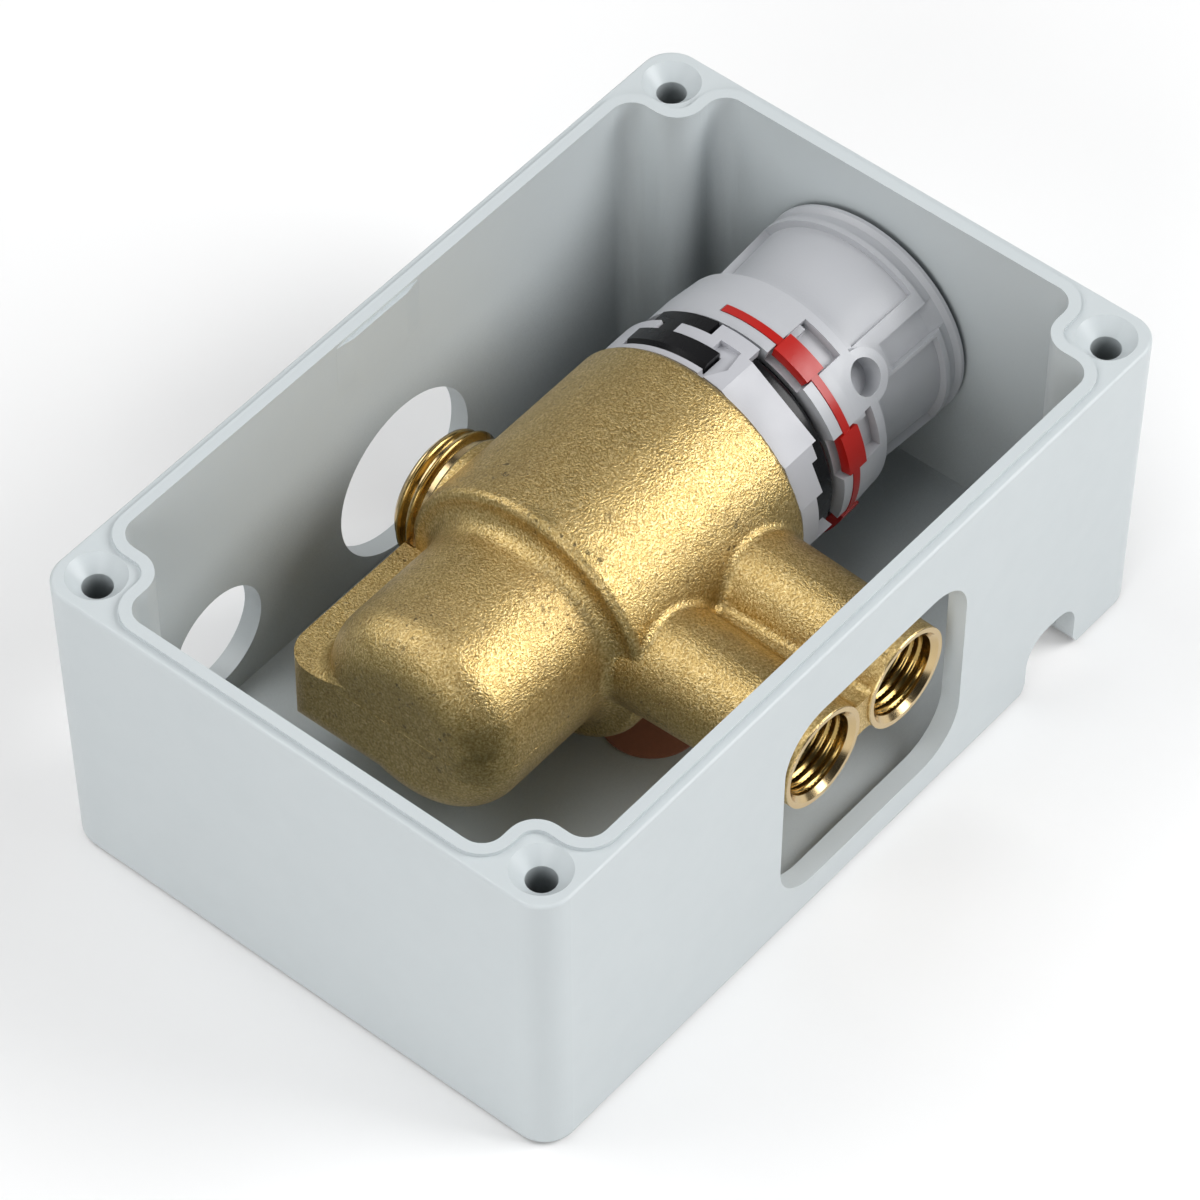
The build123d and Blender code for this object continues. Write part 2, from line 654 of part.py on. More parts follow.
# Cartridge sleeve with two rows of inlet windows
follower_bore_r = FOLLOWER_R + RUNNING
flange_bore_r = SPINDLE_FLANGE_R + RUNNING
clip_x0 = SPINDLE_FLANGE_X1 + RUNNING
clip_x1 = clip_x0 + CLIP_THICK
with BuildPart() as cartridge_sleeve:
    turned(((SLEEVE_X0, SHUTTLE_BORE_R), (SLEEVE_X0, SLEEVE_R), (MID_LAND_X0, SLEEVE_R),
            (MID_LAND_X0, MID_LAND_R - RUNNING), (MID_LAND_X1 - RUNNING, MID_LAND_R - RUNNING),
            (MID_LAND_X1 - RUNNING, SLEEVE_R), (SLEEVE_HEAD_X, SLEEVE_R),
            (SLEEVE_HEAD_X, CHAMBER_R - RUNNING), (NUT_THREAD_X - RUNNING, CHAMBER_R - RUNNING),
            (NUT_THREAD_X - RUNNING, SLEEVE_R), (SLEEVE_X1, SLEEVE_R), (SLEEVE_X1, flange_bore_r),
            (SPINDLE_FLANGE_X0 - RUNNING, flange_bore_r), (SPINDLE_FLANGE_X0 - RUNNING, follower_bore_r),
            (FOLLOWER_BORE_X, follower_bore_r), (FOLLOWER_BORE_X, SEAT_FAR_R), (SEAT_FAR_X, SEAT_FAR_R),
            (SEAT_FAR_X, SHUTTLE_BORE_R)))
    # Groove for the clip that holds the spindle
    turned(((clip_x0 - RUNNING, flange_bore_r - CUT_BEYOND), (clip_x0 - RUNNING, CLIP_R),
            (clip_x1 + RUNNING, CLIP_R), (clip_x1 + RUNNING, flange_bore_r - CUT_BEYOND)),
           mode=Mode.SUBTRACT)
    # Key that stops the follower from turning
    sector(FOLLOWER_BORE_X, SPINDLE_FLANGE_X0 - RUNNING, FOLLOWER_R - KEY_DEPTH + RUNNING,
           follower_bore_r + RUNNING, -KEY_HALF_ANGLE, KEY_HALF_ANGLE)
    for x, r in ((MID_SEAL_X, MID_LAND_R), (HEAD_SEAL_X, CHAMBER_R)):
        seal_groove(x, r)
    for x in (SEAT_NEAR_X, SEAT_FAR_X - WINDOW_LENGTH):
        for i in range(WINDOW_COUNT):
            middle = i * FULL_TURN / WINDOW_COUNT
            sector(x, x + WINDOW_LENGTH, SHUTTLE_BORE_R - CUT_BEYOND, SLEEVE_R + CUT_BEYOND,
                   middle - WINDOW_SPAN / 2, middle + WINDOW_SPAN / 2, mode=Mode.SUBTRACT)
finish(cartridge_sleeve.part, "cartridge_sleeve")

# Outlet seat, screwed into the sleeve
with BuildPart() as outlet_seat:
    turned(((OUTLET_SEAT_X, OUTLET_LIP_R), (OUTLET_SEAT_X, END_LAND_R - RUNNING),
            (SLEEVE_X0 - RUNNING, END_LAND_R - RUNNING), (SLEEVE_X0 - RUNNING, SHUTTLE_BORE_R - RUNNING),
            (SEAT_NEAR_X, SHUTTLE_BORE_R - RUNNING), (SEAT_NEAR_X, OUTLET_SEAT_R),
            (OUTLET_SEAT_X + OUTLET_LIP_THICK, OUTLET_SEAT_R), (OUTLET_SEAT_X + OUTLET_LIP_THICK,
                                                                OUTLET_LIP_R)))
    seal_groove(END_SEAL_X, END_LAND_R)
finish(outlet_seat.part, "outlet_seat")

# Seals between the cartridge and the casting
for name, x, r in (("sleeve_seal_end", END_SEAL_X, END_LAND_R), ("sleeve_seal_middle", MID_SEAL_X,
                                                                 MID_LAND_R),
                   ("sleeve_seal_head", HEAD_SEAL_X, CHAMBER_R)):
    with BuildPart() as seal:
        o_ring(x, r - SEAL_GAP - SEAL_SECTION_R, SEAL_SECTION_R)
    finish(seal.part, name)

# Mixing shuttle
shuttle_r = SHUTTLE_BORE_R - RUNNING
shuttle_x0 = SEAT_NEAR_X + SHUTTLE_GAP
shuttle_x1 = SEAT_FAR_X - SHUTTLE_GAP
shuttle_middle = (shuttle_x0 + shuttle_x1) / 2
shuttle_hub_x1 = SHUTTLE_HUB_X + SHUTTLE_HUB_LENGTH
with BuildPart() as mixing_shuttle:
    turned(((shuttle_x0, shuttle_r - SHUTTLE_WALL), (shuttle_x0, shuttle_r), (shuttle_x1, shuttle_r),
            (shuttle_x1, shuttle_r - SHUTTLE_WALL)))
    turned(((SHUTTLE_HUB_X, BULB_R + RUNNING), (SHUTTLE_HUB_X, SHUTTLE_HUB_R),
            (shuttle_hub_x1, SHUTTLE_HUB_R), (shuttle_hub_x1, BULB_R + RUNNING)))
    with BuildSketch(station(SHUTTLE_HUB_X)):
        with PolarLocations((SHUTTLE_HUB_R + shuttle_r - SHUTTLE_WALL) / 2, SHUTTLE_SPOKES):
            Rectangle(shuttle_r - SHUTTLE_HUB_R, SHUTTLE_SPOKE_WIDTH)
    extrude(amount=SHUTTLE_HUB_LENGTH)
    groove_r = SHUTTLE_BORE_R - 2 * SEAL_GAP - 2 * SHUTTLE_SEAL_R
    groove_half = SHUTTLE_SEAL_R + GROOVE_SIDE_GAP
    turned(((shuttle_middle - groove_half, groove_r), (shuttle_middle - groove_half, SHUTTLE_BORE_R),
            (shuttle_middle + groove_half, SHUTTLE_BORE_R), (shuttle_middle + groove_half, groove_r)),
           mode=Mode.SUBTRACT)
finish(mixing_shuttle.part, "mixing_shuttle")

with BuildPart() as shuttle_seal:
    o_ring(shuttle_middle, SHUTTLE_BORE_R - SEAL_GAP - SHUTTLE_SEAL_R, SHUTTLE_SEAL_R)
finish(shuttle_seal.part, "shuttle_seal")

# Wax element and its piston
flange_x0 = shuttle_hub_x1 + RUNNING
flange_x1 = flange_x0 + ELEMENT_FLANGE_THICK
with BuildPart() as wax_element:
    turned(((BULB_X, 0), (BULB_X, BULB_R), (flange_x0, BULB_R), (flange_x0, ELEMENT_FLANGE_R),
            (flange_x1, ELEMENT_FLANGE_R), (flange_x1, ELEMENT_NECK_R), (ELEMENT_NECK_X1, ELEMENT_NECK_R),
            (ELEMENT_NECK_X1, PIN_R + RUNNING), (PIN_BORE_X, PIN_R + RUNNING), (PIN_BORE_X, 0)))
finish(wax_element.part, "wax_element")

with BuildPart() as element_pin:
    turned(((PIN_BORE_X + RUNNING, 0), (PIN_BORE_X + RUNNING, PIN_R), (PIN_X1, PIN_R), (PIN_X1, 0)))
finish(element_pin.part, "element_pin")

# Return spring between the outlet seat and the shuttle's hub
return_x0 = OUTLET_SEAT_X + OUTLET_LIP_THICK + RETURN_WIRE_R + RUNNING
return_length = SHUTTLE_HUB_X - RETURN_WIRE_R - RUNNING - return_x0
with BuildPart() as return_spring:
    coil((VALVE_X + return_x0, VALVE_Y, VALVE_Z), (1, 0, 0), RETURN_COIL_R, RETURN_WIRE_R, return_length,
         RETURN_TURNS)
finish(return_spring.part, "return_spring")

# Temperature spindle: its screw drives the follower, its stem carries the knob
with BuildPart() as temperature_spindle:
    turned(((SPINDLE_THREAD_X0, 0), (SPINDLE_THREAD_X0, SPINDLE_THREAD_R),
            (SPINDLE_FLANGE_X0, SPINDLE_THREAD_R), (SPINDLE_FLANGE_X0, SPINDLE_FLANGE_R),
            (SPINDLE_FLANGE_X1, SPINDLE_FLANGE_R), (SPINDLE_FLANGE_X1, SPINDLE_STEM_R),
            (SPINDLE_STEM_X1, SPINDLE_STEM_R), (SPINDLE_STEM_X1, SPINDLE_TAP_R),
            (SPINDLE_TAP_X, SPINDLE_TAP_R), (SPINDLE_TAP_X, 0)))
    groove_r = flange_bore_r - 2 * SEAL_GAP - 2 * SPINDLE_SEAL_R
    groove_half = SPINDLE_SEAL_R + GROOVE_SIDE_GAP
    turned(((SPINDLE_SEAL_X - groove_half, groove_r), (SPINDLE_SEAL_X - groove_half, flange_bore_r),
            (SPINDLE_SEAL_X + groove_half, flange_bore_r), (SPINDLE_SEAL_X + groove_half, groove_r)),
           mode=Mode.SUBTRACT)
    with BuildSketch(station(SPINDLE_FLAT_X0)):
        Rectangle(2 * SPINDLE_STEM_R, 2 * SPINDLE_STEM_R)
        Rectangle(2 * SPINDLE_FLAT, 2 * SPINDLE_STEM_R, mode=Mode.SUBTRACT)
    extrude(amount=SPINDLE_STEM_X1 - SPINDLE_FLAT_X0, mode=Mode.SUBTRACT)
finish(temperature_spindle.part, "temperature_spindle")

with BuildPart() as spindle_seal:
    o_ring(SPINDLE_SEAL_X, flange_bore_r - SEAL_GAP - SPINDLE_SEAL_R, SPINDLE_SEAL_R)
finish(spindle_seal.part, "spindle_seal")

# Clip in the sleeve's mouth that holds the spindle's flange
with BuildPart() as spindle_clip:
    sector(clip_x0, clip_x1, CLIP_BORE_R, CLIP_R - RUNNING, CLIP_GAP / 2, FULL_TURN - CLIP_GAP / 2)
finish(spindle_clip.part, "spindle_clip")

# Follower: the screw slides it along the sleeve and the key keeps it from turning
with BuildPart() as temperature_follower:
    turned(((FOLLOWER_X0, CUP_LIP_R), (FOLLOWER_X0, FOLLOWER_R), (FOLLOWER_X1, FOLLOWER_R),
            (FOLLOWER_X1, SPINDLE_THREAD_R + RUNNING), (FOLLOWER_HOLLOW_X1, SPINDLE_THREAD_R + RUNNING),
            (FOLLOWER_HOLLOW_X1, FOLLOWER_HOLLOW_R), (CUP_X0 - RUNNING, FOLLOWER_HOLLOW_R),
            (CUP_X0 - RUNNING, CUP_LIP_R)))
    sector(FOLLOWER_X0, FOLLOWER_X1, FOLLOWER_R - KEY_DEPTH, FOLLOWER_R + CUT_BEYOND,
           -KEY_HALF_ANGLE - INTERLOCK_ANGLE, KEY_HALF_ANGLE + INTERLOCK_ANGLE, mode=Mode.SUBTRACT)
finish(temperature_follower.part, "temperature_follower")

# Overload cup and spring inside the follower
with BuildPart() as overload_cup:
    turned(((CUP_X0, 0), (CUP_X0, CUP_R), (CUP_X1, CUP_R), (CUP_X1, CUP_STEM_R), (CUP_STEM_X1, CUP_STEM_R),
            (CUP_STEM_X1, 0)))
finish(overload_cup.part, "overload_cup")

overload_x0 = CUP_X1 + OVERLOAD_WIRE_R + RUNNING
overload_length = FOLLOWER_HOLLOW_X1 - OVERLOAD_WIRE_R - RUNNING - overload_x0
with BuildPart() as overload_spring:
    coil((VALVE_X + overload_x0, VALVE_Y, VALVE_Z), (1, 0, 0), OVERLOAD_COIL_R, OVERLOAD_WIRE_R,
         overload_length, OVERLOAD_TURNS)
finish(overload_spring.part, "overload_spring")

# Black limit ring with a T-shaped hook that reaches back through the collar
collar_r = MAIN_R - COLLAR_STEP
bar_r = collar_r + BLACK_BAR_PROUD
hook_r = BLACK_R - HOOK_ROOT
with BuildPart() as black_limit_ring:
    turned(((BLACK_X0, NUT_BODY_R + RUNNING), (BLACK_X0, BLACK_R), (BLACK_X1, BLACK_R),
            (BLACK_X1, NUT_BODY_R + RUNNING)))
    front = black_limit_ring.faces().sort_by(Axis.X)[-1]
    fillet(front.edges().sort_by(SortBy.RADIUS)[-1:], BLACK_ROUND)
    turned(((BLACK_BAR_X0, hook_r), (BLACK_BAR_X0, bar_r - BLACK_BAR_BEVEL),
            (BLACK_BAR_X0 + BLACK_BAR_BEVEL, bar_r), (BLACK_BAR_X1, bar_r), (BLACK_BAR_X1, hook_r)),
           start=BLACK_BAR_FROM, end=BLACK_BAR_TO)
    sector(BLACK_BAR_X1 - HOOK_ROOT, BLACK_TOP_X0 + HOOK_ROOT, hook_r, BLACK_TOP_R, BLACK_NECK_FROM,
           BLACK_NECK_TO)
    sector(BLACK_TOP_X0, BLACK_TOP_X1, hook_r, BLACK_TOP_R, BLACK_TOP_FROM, BLACK_TOP_TO)
finish(black_limit_ring.part, "black_limit_ring")

# Grey lock collar around the black ring
with BuildPart() as lock_collar:
    turned(((COLLAR_X0, BLACK_R + RUNNING), (COLLAR_X0, collar_r), (COLLAR_X1, collar_r),
            (COLLAR_X1, BLACK_R + RUNNING)))
    sector(COLLAR_X1, COLLAR_TAB_X1, BLACK_R + RUNNING, collar_r, COLLAR_TAB_FROM, COLLAR_TAB_TO)
    # Room for the black hook
    sector(BLACK_BAR_X0 - INTERLOCK_GAP, BLACK_BAR_X1 + INTERLOCK_GAP, hook_r, collar_r + CUT_BEYOND,
           BLACK_BAR_FROM - INTERLOCK_ANGLE, BLACK_BAR_TO + INTERLOCK_ANGLE, mode=Mode.SUBTRACT)
    sector(BLACK_BAR_X1 - HOOK_ROOT, COLLAR_X1 + CUT_BEYOND, hook_r, collar_r + CUT_BEYOND,
           BLACK_NECK_FROM - INTERLOCK_ANGLE, BLACK_NECK_TO + INTERLOCK_ANGLE, mode=Mode.SUBTRACT)
    # Sunk step beside the hook's end
    with BuildSketch(tangent(0, 0, COLLAR_NOTCH_R)):
        with BuildLine():
            Polyline(*[(x, -collar_r * sin(radians(angle))) for x, angle in COLLAR_NOTCH], close=True)
        make_face()
    extrude(amount=collar_r - COLLAR_NOTCH_R + CUT_BEYOND, mode=Mode.SUBTRACT)
    # Steps in the collar's front edge
    for a0, a1, x in COLLAR_STEPS:
        sector(x, COLLAR_X1 + CUT_BEYOND, hook_r, collar_r + CUT_BEYOND, a0, a1, mode=Mode.SUBTRACT)
    # Flats for a key
    for a0, a1 in COLLAR_FLATS:
        reach = collar_r * cos(radians((a1 - a0) / 2))
        with BuildSketch(tangent(COLLAR_X0, (a0 + a1) / 2, reach)):
            Rectangle(COLLAR_TAB_X1 - COLLAR_X0, 2 * collar_r, align=(Align.MIN, Align.CENTER))
        extrude(amount=collar_r, mode=Mode.SUBTRACT)
finish(lock_collar.part, "lock_collar")

# Knob
slot_angles = [SLOT_FIRST + i * SLOT_PITCH for i in range(SLOT_COUNT)]
boss_x1 = HOLE_X + HOLE_BOSS_R + CUT_BEYOND
beyond_r = SKIRT_R + CUT_BEYOND
with BuildPart() as knob:
    turned(((KNOB_X0, SKIRT_BORE_R), (KNOB_X0, SKIRT_R), (SKIRT_BAND_X1, SKIRT_R),
            (SKIRT_RIM_X1, SKIRT_RIM_R), (DRUM_X0, DRUM_R), (LAND_X1, LAND_R), (COVE_X0, COVE_R),
            (COVE_X1, COVE_R), (FLANGE_X0, FLANGE_R), (KNOB_X1, FLANGE_R), (KNOB_X1, DRUM_BORE_R),
            (KNOB_WEB_X1, DRUM_BORE_R), (KNOB_WEB_X1, KNOB_SCREW_HEAD_R + KNOB_SCREW_HEAD_GAP),
            (KNOB_WEB_X1 - KNOB_SCREW_SINK, KNOB_SCREW_HEAD_R + KNOB_SCREW_HEAD_GAP),
            (KNOB_WEB_X1 - KNOB_SCREW_SINK, KNOB_SCREW_R + RUNNING),
            (SPINDLE_STEM_X1 + RUNNING, KNOB_SCREW_R + RUNNING), (SPINDLE_STEM_X1 + RUNNING,
                                                                  SPINDLE_STEM_R + RUNNING),
            (HUB_X0, SPINDLE_STEM_R + RUNNING), (HUB_X0, HUB_R), (SKIRT_BORE_X1, HUB_R),
            (SKIRT_BORE_X1, SKIRT_BORE_R)))
    # Flats that turn the spindle
    with BuildSketch(station(HUB_X0)):
        Circle(HUB_R)
        Rectangle(2 * (SPINDLE_FLAT + RUNNING), 2 * HUB_R, mode=Mode.SUBTRACT)
    extrude(amount=SPINDLE_STEM_X1 - HUB_X0)
    # Sunk panels in the drum, and the narrow one that runs out into the cove
    for x0, a0, a1 in PANELS:
        turned(((x0, PANEL_R0), (x0, beyond_r), (PANEL_X1, beyond_r), (PANEL_X1, PANEL_R1)),
               mode=Mode.SUBTRACT, start=a0, end=a1)
    x0, a0, a1 = OPEN_PANEL
    turned(((x0, OPEN_PANEL_R), (x0, beyond_r), (COVE_X1, beyond_r), (COVE_X1, COVE_R),
            (PANEL_X1, PANEL_R1)), mode=Mode.SUBTRACT, start=a0, end=a1)
    # Pad of the blind hole, flush with the rim, then the hole
    with BuildSketch(tangent(HOLE_X, HOLE_ANGLE, DRUM_BORE_R + RUNNING)):
        Circle(HOLE_BOSS_R)
    extrude(amount=beyond_r - DRUM_BORE_R)
    turned(((SKIRT_BAND_X1, SKIRT_R), (SKIRT_RIM_X1, SKIRT_RIM_R), (boss_x1, SKIRT_RIM_R),
            (boss_x1, beyond_r + HOLE_R), (SKIRT_BAND_X1, beyond_r + HOLE_R)), mode=Mode.SUBTRACT)
    with BuildSketch(tangent(HOLE_X, HOLE_ANGLE, HOLE_FLOOR_R)):
        Circle(HOLE_R)
    extrude(amount=beyond_r - HOLE_FLOOR_R, mode=Mode.SUBTRACT)
    # Groove for the red ring, slots for its tabs and the tooth in each slot's corner
    sector(BAND_X0 - BAND_SIDE_GAP, BAND_X1 + BAND_SIDE_GAP, BAND_FLOOR_R - RUNNING, beyond_r,
           BAND_FROM - INTERLOCK_ANGLE, BAND_TO + INTERLOCK_ANGLE, mode=Mode.SUBTRACT)
    for middle in slot_angles:
        sector(KNOB_X0, SLOT_X1, SLOT_FLOOR_R, beyond_r, middle - SLOT_HALF, middle + SLOT_HALF,
               mode=Mode.SUBTRACT)
        sector(TAB_X1 + INTERLOCK_GAP, TOOTH_X1, SLOT_FLOOR_R - HOOK_ROOT, TOOTH_R, middle - SLOT_HALF,
               middle - SLOT_HALF + TOOTH_ANGLE)
finish(knob.part, "knob")

# Red stop ring
with BuildPart() as red_stop_ring:
    sector(BAND_X0, BAND_X1, BAND_FLOOR_R, BAND_R, BAND_FROM, BAND_TO)
    for middle in slot_angles:
        sector(TAB_X0, TAB_X1, BAND_FLOOR_R, TAB_R, middle - TAB_HALF, middle + TAB_HALF)
finish(red_stop_ring.part, "red_stop_ring")

# Screw that holds the knob on the spindle
with BuildPart() as knob_screw:
    screw_x0 = KNOB_WEB_X1 - KNOB_SCREW_SINK + RUNNING
    turned(((screw_x0 - KNOB_SCREW_LENGTH, 0), (screw_x0 - KNOB_SCREW_LENGTH, SPINDLE_TAP_R - RUNNING),
            (SPINDLE_STEM_X1, SPINDLE_TAP_R - RUNNING), (screw_x0, SPINDLE_TAP_R - RUNNING),
            (screw_x0, KNOB_SCREW_HEAD_R), (screw_x0 + KNOB_SCREW_HEAD_THICK, KNOB_SCREW_HEAD_R),
            (screw_x0 + KNOB_SCREW_HEAD_THICK, 0)))
    with BuildSketch(station(screw_x0 + KNOB_SCREW_HEAD_THICK)):
        RegularPolygon(KNOB_SCREW_SOCKET_R, 6)
    extrude(amount=-KNOB_SCREW_HEAD_THICK / 2, mode=Mode.SUBTRACT)
finish(knob_screw.part, "knob_screw")

# Check valve and screen in each inlet
check_r = INLET_BORE_R - RUNNING
poppet_y0 = CHECK_Y0 + CHECK_SEAT_THICK + POPPET_GAP
poppet_y1 = poppet_y0 + POPPET_THICK
check_groove_r = INLET_BORE_R - 2 * SEAL_GAP - 2 * CHECK_SEAL_R
check_groove_y0 = CHECK_SEAL_Y - CHECK_SEAL_R - GROOVE_SIDE_GAP
check_groove_y1 = CHECK_SEAL_Y + CHECK_SEAL_R + GROOVE_SIDE_GAP
check_rim_r = CHECK_BORE_R - RUNNING
check_spring_y0 = poppet_y1 + CHECK_WIRE_R + RUNNING
check_spring_length = GUIDE_Y0 - CHECK_WIRE_R - RUNNING - check_spring_y0
for side, x in zip(PORT_NAMES, PORT_XS):
    with BuildPart() as filter_screen:
        port_turned(x, ((SCREEN_Y0, 0), (SCREEN_Y0, check_r), (SCREEN_Y0 + SCREEN_RIM, check_r),
                        (SCREEN_Y0 + SCREEN_RIM, check_r - SCREEN_THICK),
                        (SCREEN_Y0 + SCREEN_THICK, check_r - SCREEN_THICK), (SCREEN_Y0 + SCREEN_THICK, 0)))
        with BuildSketch(port_plane(x, SCREEN_Y0)):
            for r, count in zip(SCREEN_RING_RADII, SCREEN_RING_COUNTS):
                with PolarLocations(r, count):
                    Circle(SCREEN_HOLE_R)
        extrude(amount=SCREEN_THICK, mode=Mode.SUBTRACT)
    finish(filter_screen.part, f"{side}_filter_screen")

    with BuildPart() as check_body:
        port_turned(x, ((CHECK_Y0, CHECK_SEAT_R), (CHECK_Y0, check_r), (CHECK_Y1, check_r),
                        (CHECK_Y1, CHECK_BORE_R), (CHECK_Y0 + CHECK_SEAT_THICK, CHECK_BORE_R),
                        (CHECK_Y0 + CHECK_SEAT_THICK, CHECK_SEAT_R)))
        port_turned(x, ((check_groove_y0, check_groove_r), (check_groove_y0, INLET_BORE_R),
                        (check_groove_y1, INLET_BORE_R), (check_groove_y1, check_groove_r)),
                    mode=Mode.SUBTRACT)
    finish(check_body.part, f"{side}_check_body")

    with BuildPart() as check_seal:
        with BuildSketch(port_section(x)):
            with Locations((CHECK_SEAL_Y, INLET_BORE_R - SEAL_GAP - CHECK_SEAL_R)):
                Circle(CHECK_SEAL_R)
        revolve(axis=port_axis(x))
    finish(check_seal.part, f"{side}_check_seal")

    with BuildPart() as check_poppet:
        port_turned(x, ((poppet_y0, 0), (poppet_y0, POPPET_R), (poppet_y1, POPPET_R),
                        (poppet_y1, POPPET_STEM_R), (POPPET_STEM_Y1, POPPET_STEM_R), (POPPET_STEM_Y1, 0)))
    finish(check_poppet.part, f"{side}_check_poppet")

    with BuildPart() as check_spring:
        coil((VALVE_X + x, check_spring_y0, VALVE_Z), (0, 1, 0), CHECK_COIL_R, CHECK_WIRE_R,
             check_spring_length, CHECK_TURNS)
    finish(check_spring.part, f"{side}_check_spring")

    with BuildPart() as check_guide:
        with BuildSketch(port_plane(x, GUIDE_Y0)):
            Circle(check_rim_r)
            Circle(check_rim_r - GUIDE_RIM, mode=Mode.SUBTRACT)
            Circle(GUIDE_HUB_R)
            with PolarLocations(check_rim_r / 2, GUIDE_SPOKES):
                Rectangle(check_rim_r, GUIDE_SPOKE_WIDTH)
            Circle(check_rim_r, mode=Mode.INTERSECT)
            Circle(POPPET_STEM_R + RUNNING, mode=Mode.SUBTRACT)
        extrude(amount=GUIDE_Y1 - GUIDE_Y0)
    finish(check_guide.part, f"{side}_check_guide")
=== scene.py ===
import json
from math import cos, sin, tau

import bmesh
import bpy
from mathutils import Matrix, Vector
from mathutils.bvhtree import BVHTree


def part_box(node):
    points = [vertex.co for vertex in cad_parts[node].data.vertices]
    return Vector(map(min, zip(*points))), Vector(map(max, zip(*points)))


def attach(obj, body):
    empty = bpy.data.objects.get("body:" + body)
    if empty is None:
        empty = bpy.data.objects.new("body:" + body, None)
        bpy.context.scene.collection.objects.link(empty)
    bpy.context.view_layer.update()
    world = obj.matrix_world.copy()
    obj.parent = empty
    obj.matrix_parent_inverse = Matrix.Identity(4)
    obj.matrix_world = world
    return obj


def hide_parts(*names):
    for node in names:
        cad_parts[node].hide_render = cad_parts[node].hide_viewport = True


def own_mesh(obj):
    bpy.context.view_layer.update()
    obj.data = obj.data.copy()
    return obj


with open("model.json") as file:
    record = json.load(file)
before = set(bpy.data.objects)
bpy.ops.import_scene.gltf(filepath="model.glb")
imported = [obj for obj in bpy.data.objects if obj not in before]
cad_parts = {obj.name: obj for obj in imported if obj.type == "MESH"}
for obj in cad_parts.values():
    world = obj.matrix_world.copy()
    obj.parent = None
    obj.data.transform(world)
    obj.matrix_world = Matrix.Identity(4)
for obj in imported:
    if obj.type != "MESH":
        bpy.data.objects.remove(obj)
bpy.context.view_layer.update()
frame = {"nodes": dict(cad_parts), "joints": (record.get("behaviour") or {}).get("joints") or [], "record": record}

nodes = frame["nodes"]
MM = 0.001

# Places on the valve, from the frame
axis_point = Vector(next(j["pos_m"] for j in frame["joints"] if j["name"] == "knob_turn"))
VALVE_Y, VALVE_Z = axis_point.y, axis_point.z
mounts = {m["name"]: m for m in frame["record"]["mounts"]}


def mount_point(name):
    return Vector(mounts[name]["pos_m"])


def mount_radius(name):
    return mounts[name]["dims"]["r_mm"] * MM


def mount_length(name):
    return mounts[name]["dims"]["length_mm"] * MM


INLETS = [mount_point("hot_inlet"), mount_point("cold_inlet")]
OUTLET = mount_point("outlet_thread")
casting_low, casting_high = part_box("valve_body")


# Shader helpers
def add(tree, kind, inputs=None, **settings):
    """A new shader node with its settings and inputs; an input that is a socket is linked."""
    made = tree.nodes.new(kind)
    for name, value in settings.items():
        setattr(made, name, value)
    for name, value in (inputs or {}).items():
        if isinstance(value, bpy.types.NodeSocket):
            tree.links.new(value, made.inputs[name])
        else:
            made.inputs[name].default_value = value
    return made


def math_node(tree, operation, *values):
    made = tree.nodes.new("ShaderNodeMath")
    made.operation = operation
    for i, value in enumerate(values):
        if isinstance(value, bpy.types.NodeSocket):
            tree.links.new(value, made.inputs[i])
        else:
            made.inputs[i].default_value = value
    return made.outputs[0]


def place(tree):
    """The point on the surface in the row frame, in metres."""
    return add(tree, "ShaderNodeTexCoord").outputs["Object"]


def noise(tree, point, scale, detail=2.0, roughness=0.5):
    return add(tree, "ShaderNodeTexNoise", {"Vector": point, "Scale": scale, "Detail": detail,
                                            "Roughness": roughness}).outputs["Fac"]


def ramp(tree, value, stops):
    """A colour ramp with (place, colour) stops."""
    made = add(tree, "ShaderNodeValToRGB", {"Fac": value})
    elements = made.color_ramp.elements
    while len(elements) < len(stops):
        elements.new(0.5)
    for element, (position, colour) in zip(elements, stops):
        element.position = position
        element.color = colour if len(colour) == 4 else (*colour, 1.0)
    return made.outputs["Color"]


def grey(value):
    return (value, value, value)


def remap(tree, value, low, high, to_low=0.0, to_high=1.0):
    return add(tree, "ShaderNodeMapRange", {"Value": value, "From Min": low, "From Max": high, "To Min": to_low,
                                            "To Max": to_high}).outputs["Result"]


def mix_colour(tree, factor, first, second, blend="MIX"):
    made = tree.nodes.new("ShaderNodeMix")
    made.data_type = "RGBA"
    made.blend_type = blend
    for socket, value in ((made.inputs[0], factor), (made.inputs[6], first), (made.inputs[7], second)):
        if isinstance(value, bpy.types.NodeSocket):
            tree.links.new(value, socket)
        else:
            socket.default_value = value if isinstance(value, (int, float)) else (*value[:3], 1.0)
    return made.outputs[2]


def mix_value(tree, factor, first, second):
    made = tree.nodes.new("ShaderNodeMix")
    for socket, value in ((made.inputs[0], factor), (made.inputs[2], first), (made.inputs[3], second)):
        if isinstance(value, bpy.types.NodeSocket):
            tree.links.new(value, socket)
        else:
            socket.default_value = value
    return made.outputs[0]


def bump(tree, height, distance, strength=1.0, normal=None):
    inputs = {"Height": height, "Distance": distance, "Strength": strength}
    if normal is not None:
        inputs["Normal"] = normal
    return add(tree, "ShaderNodeBump", inputs).outputs["Normal"]


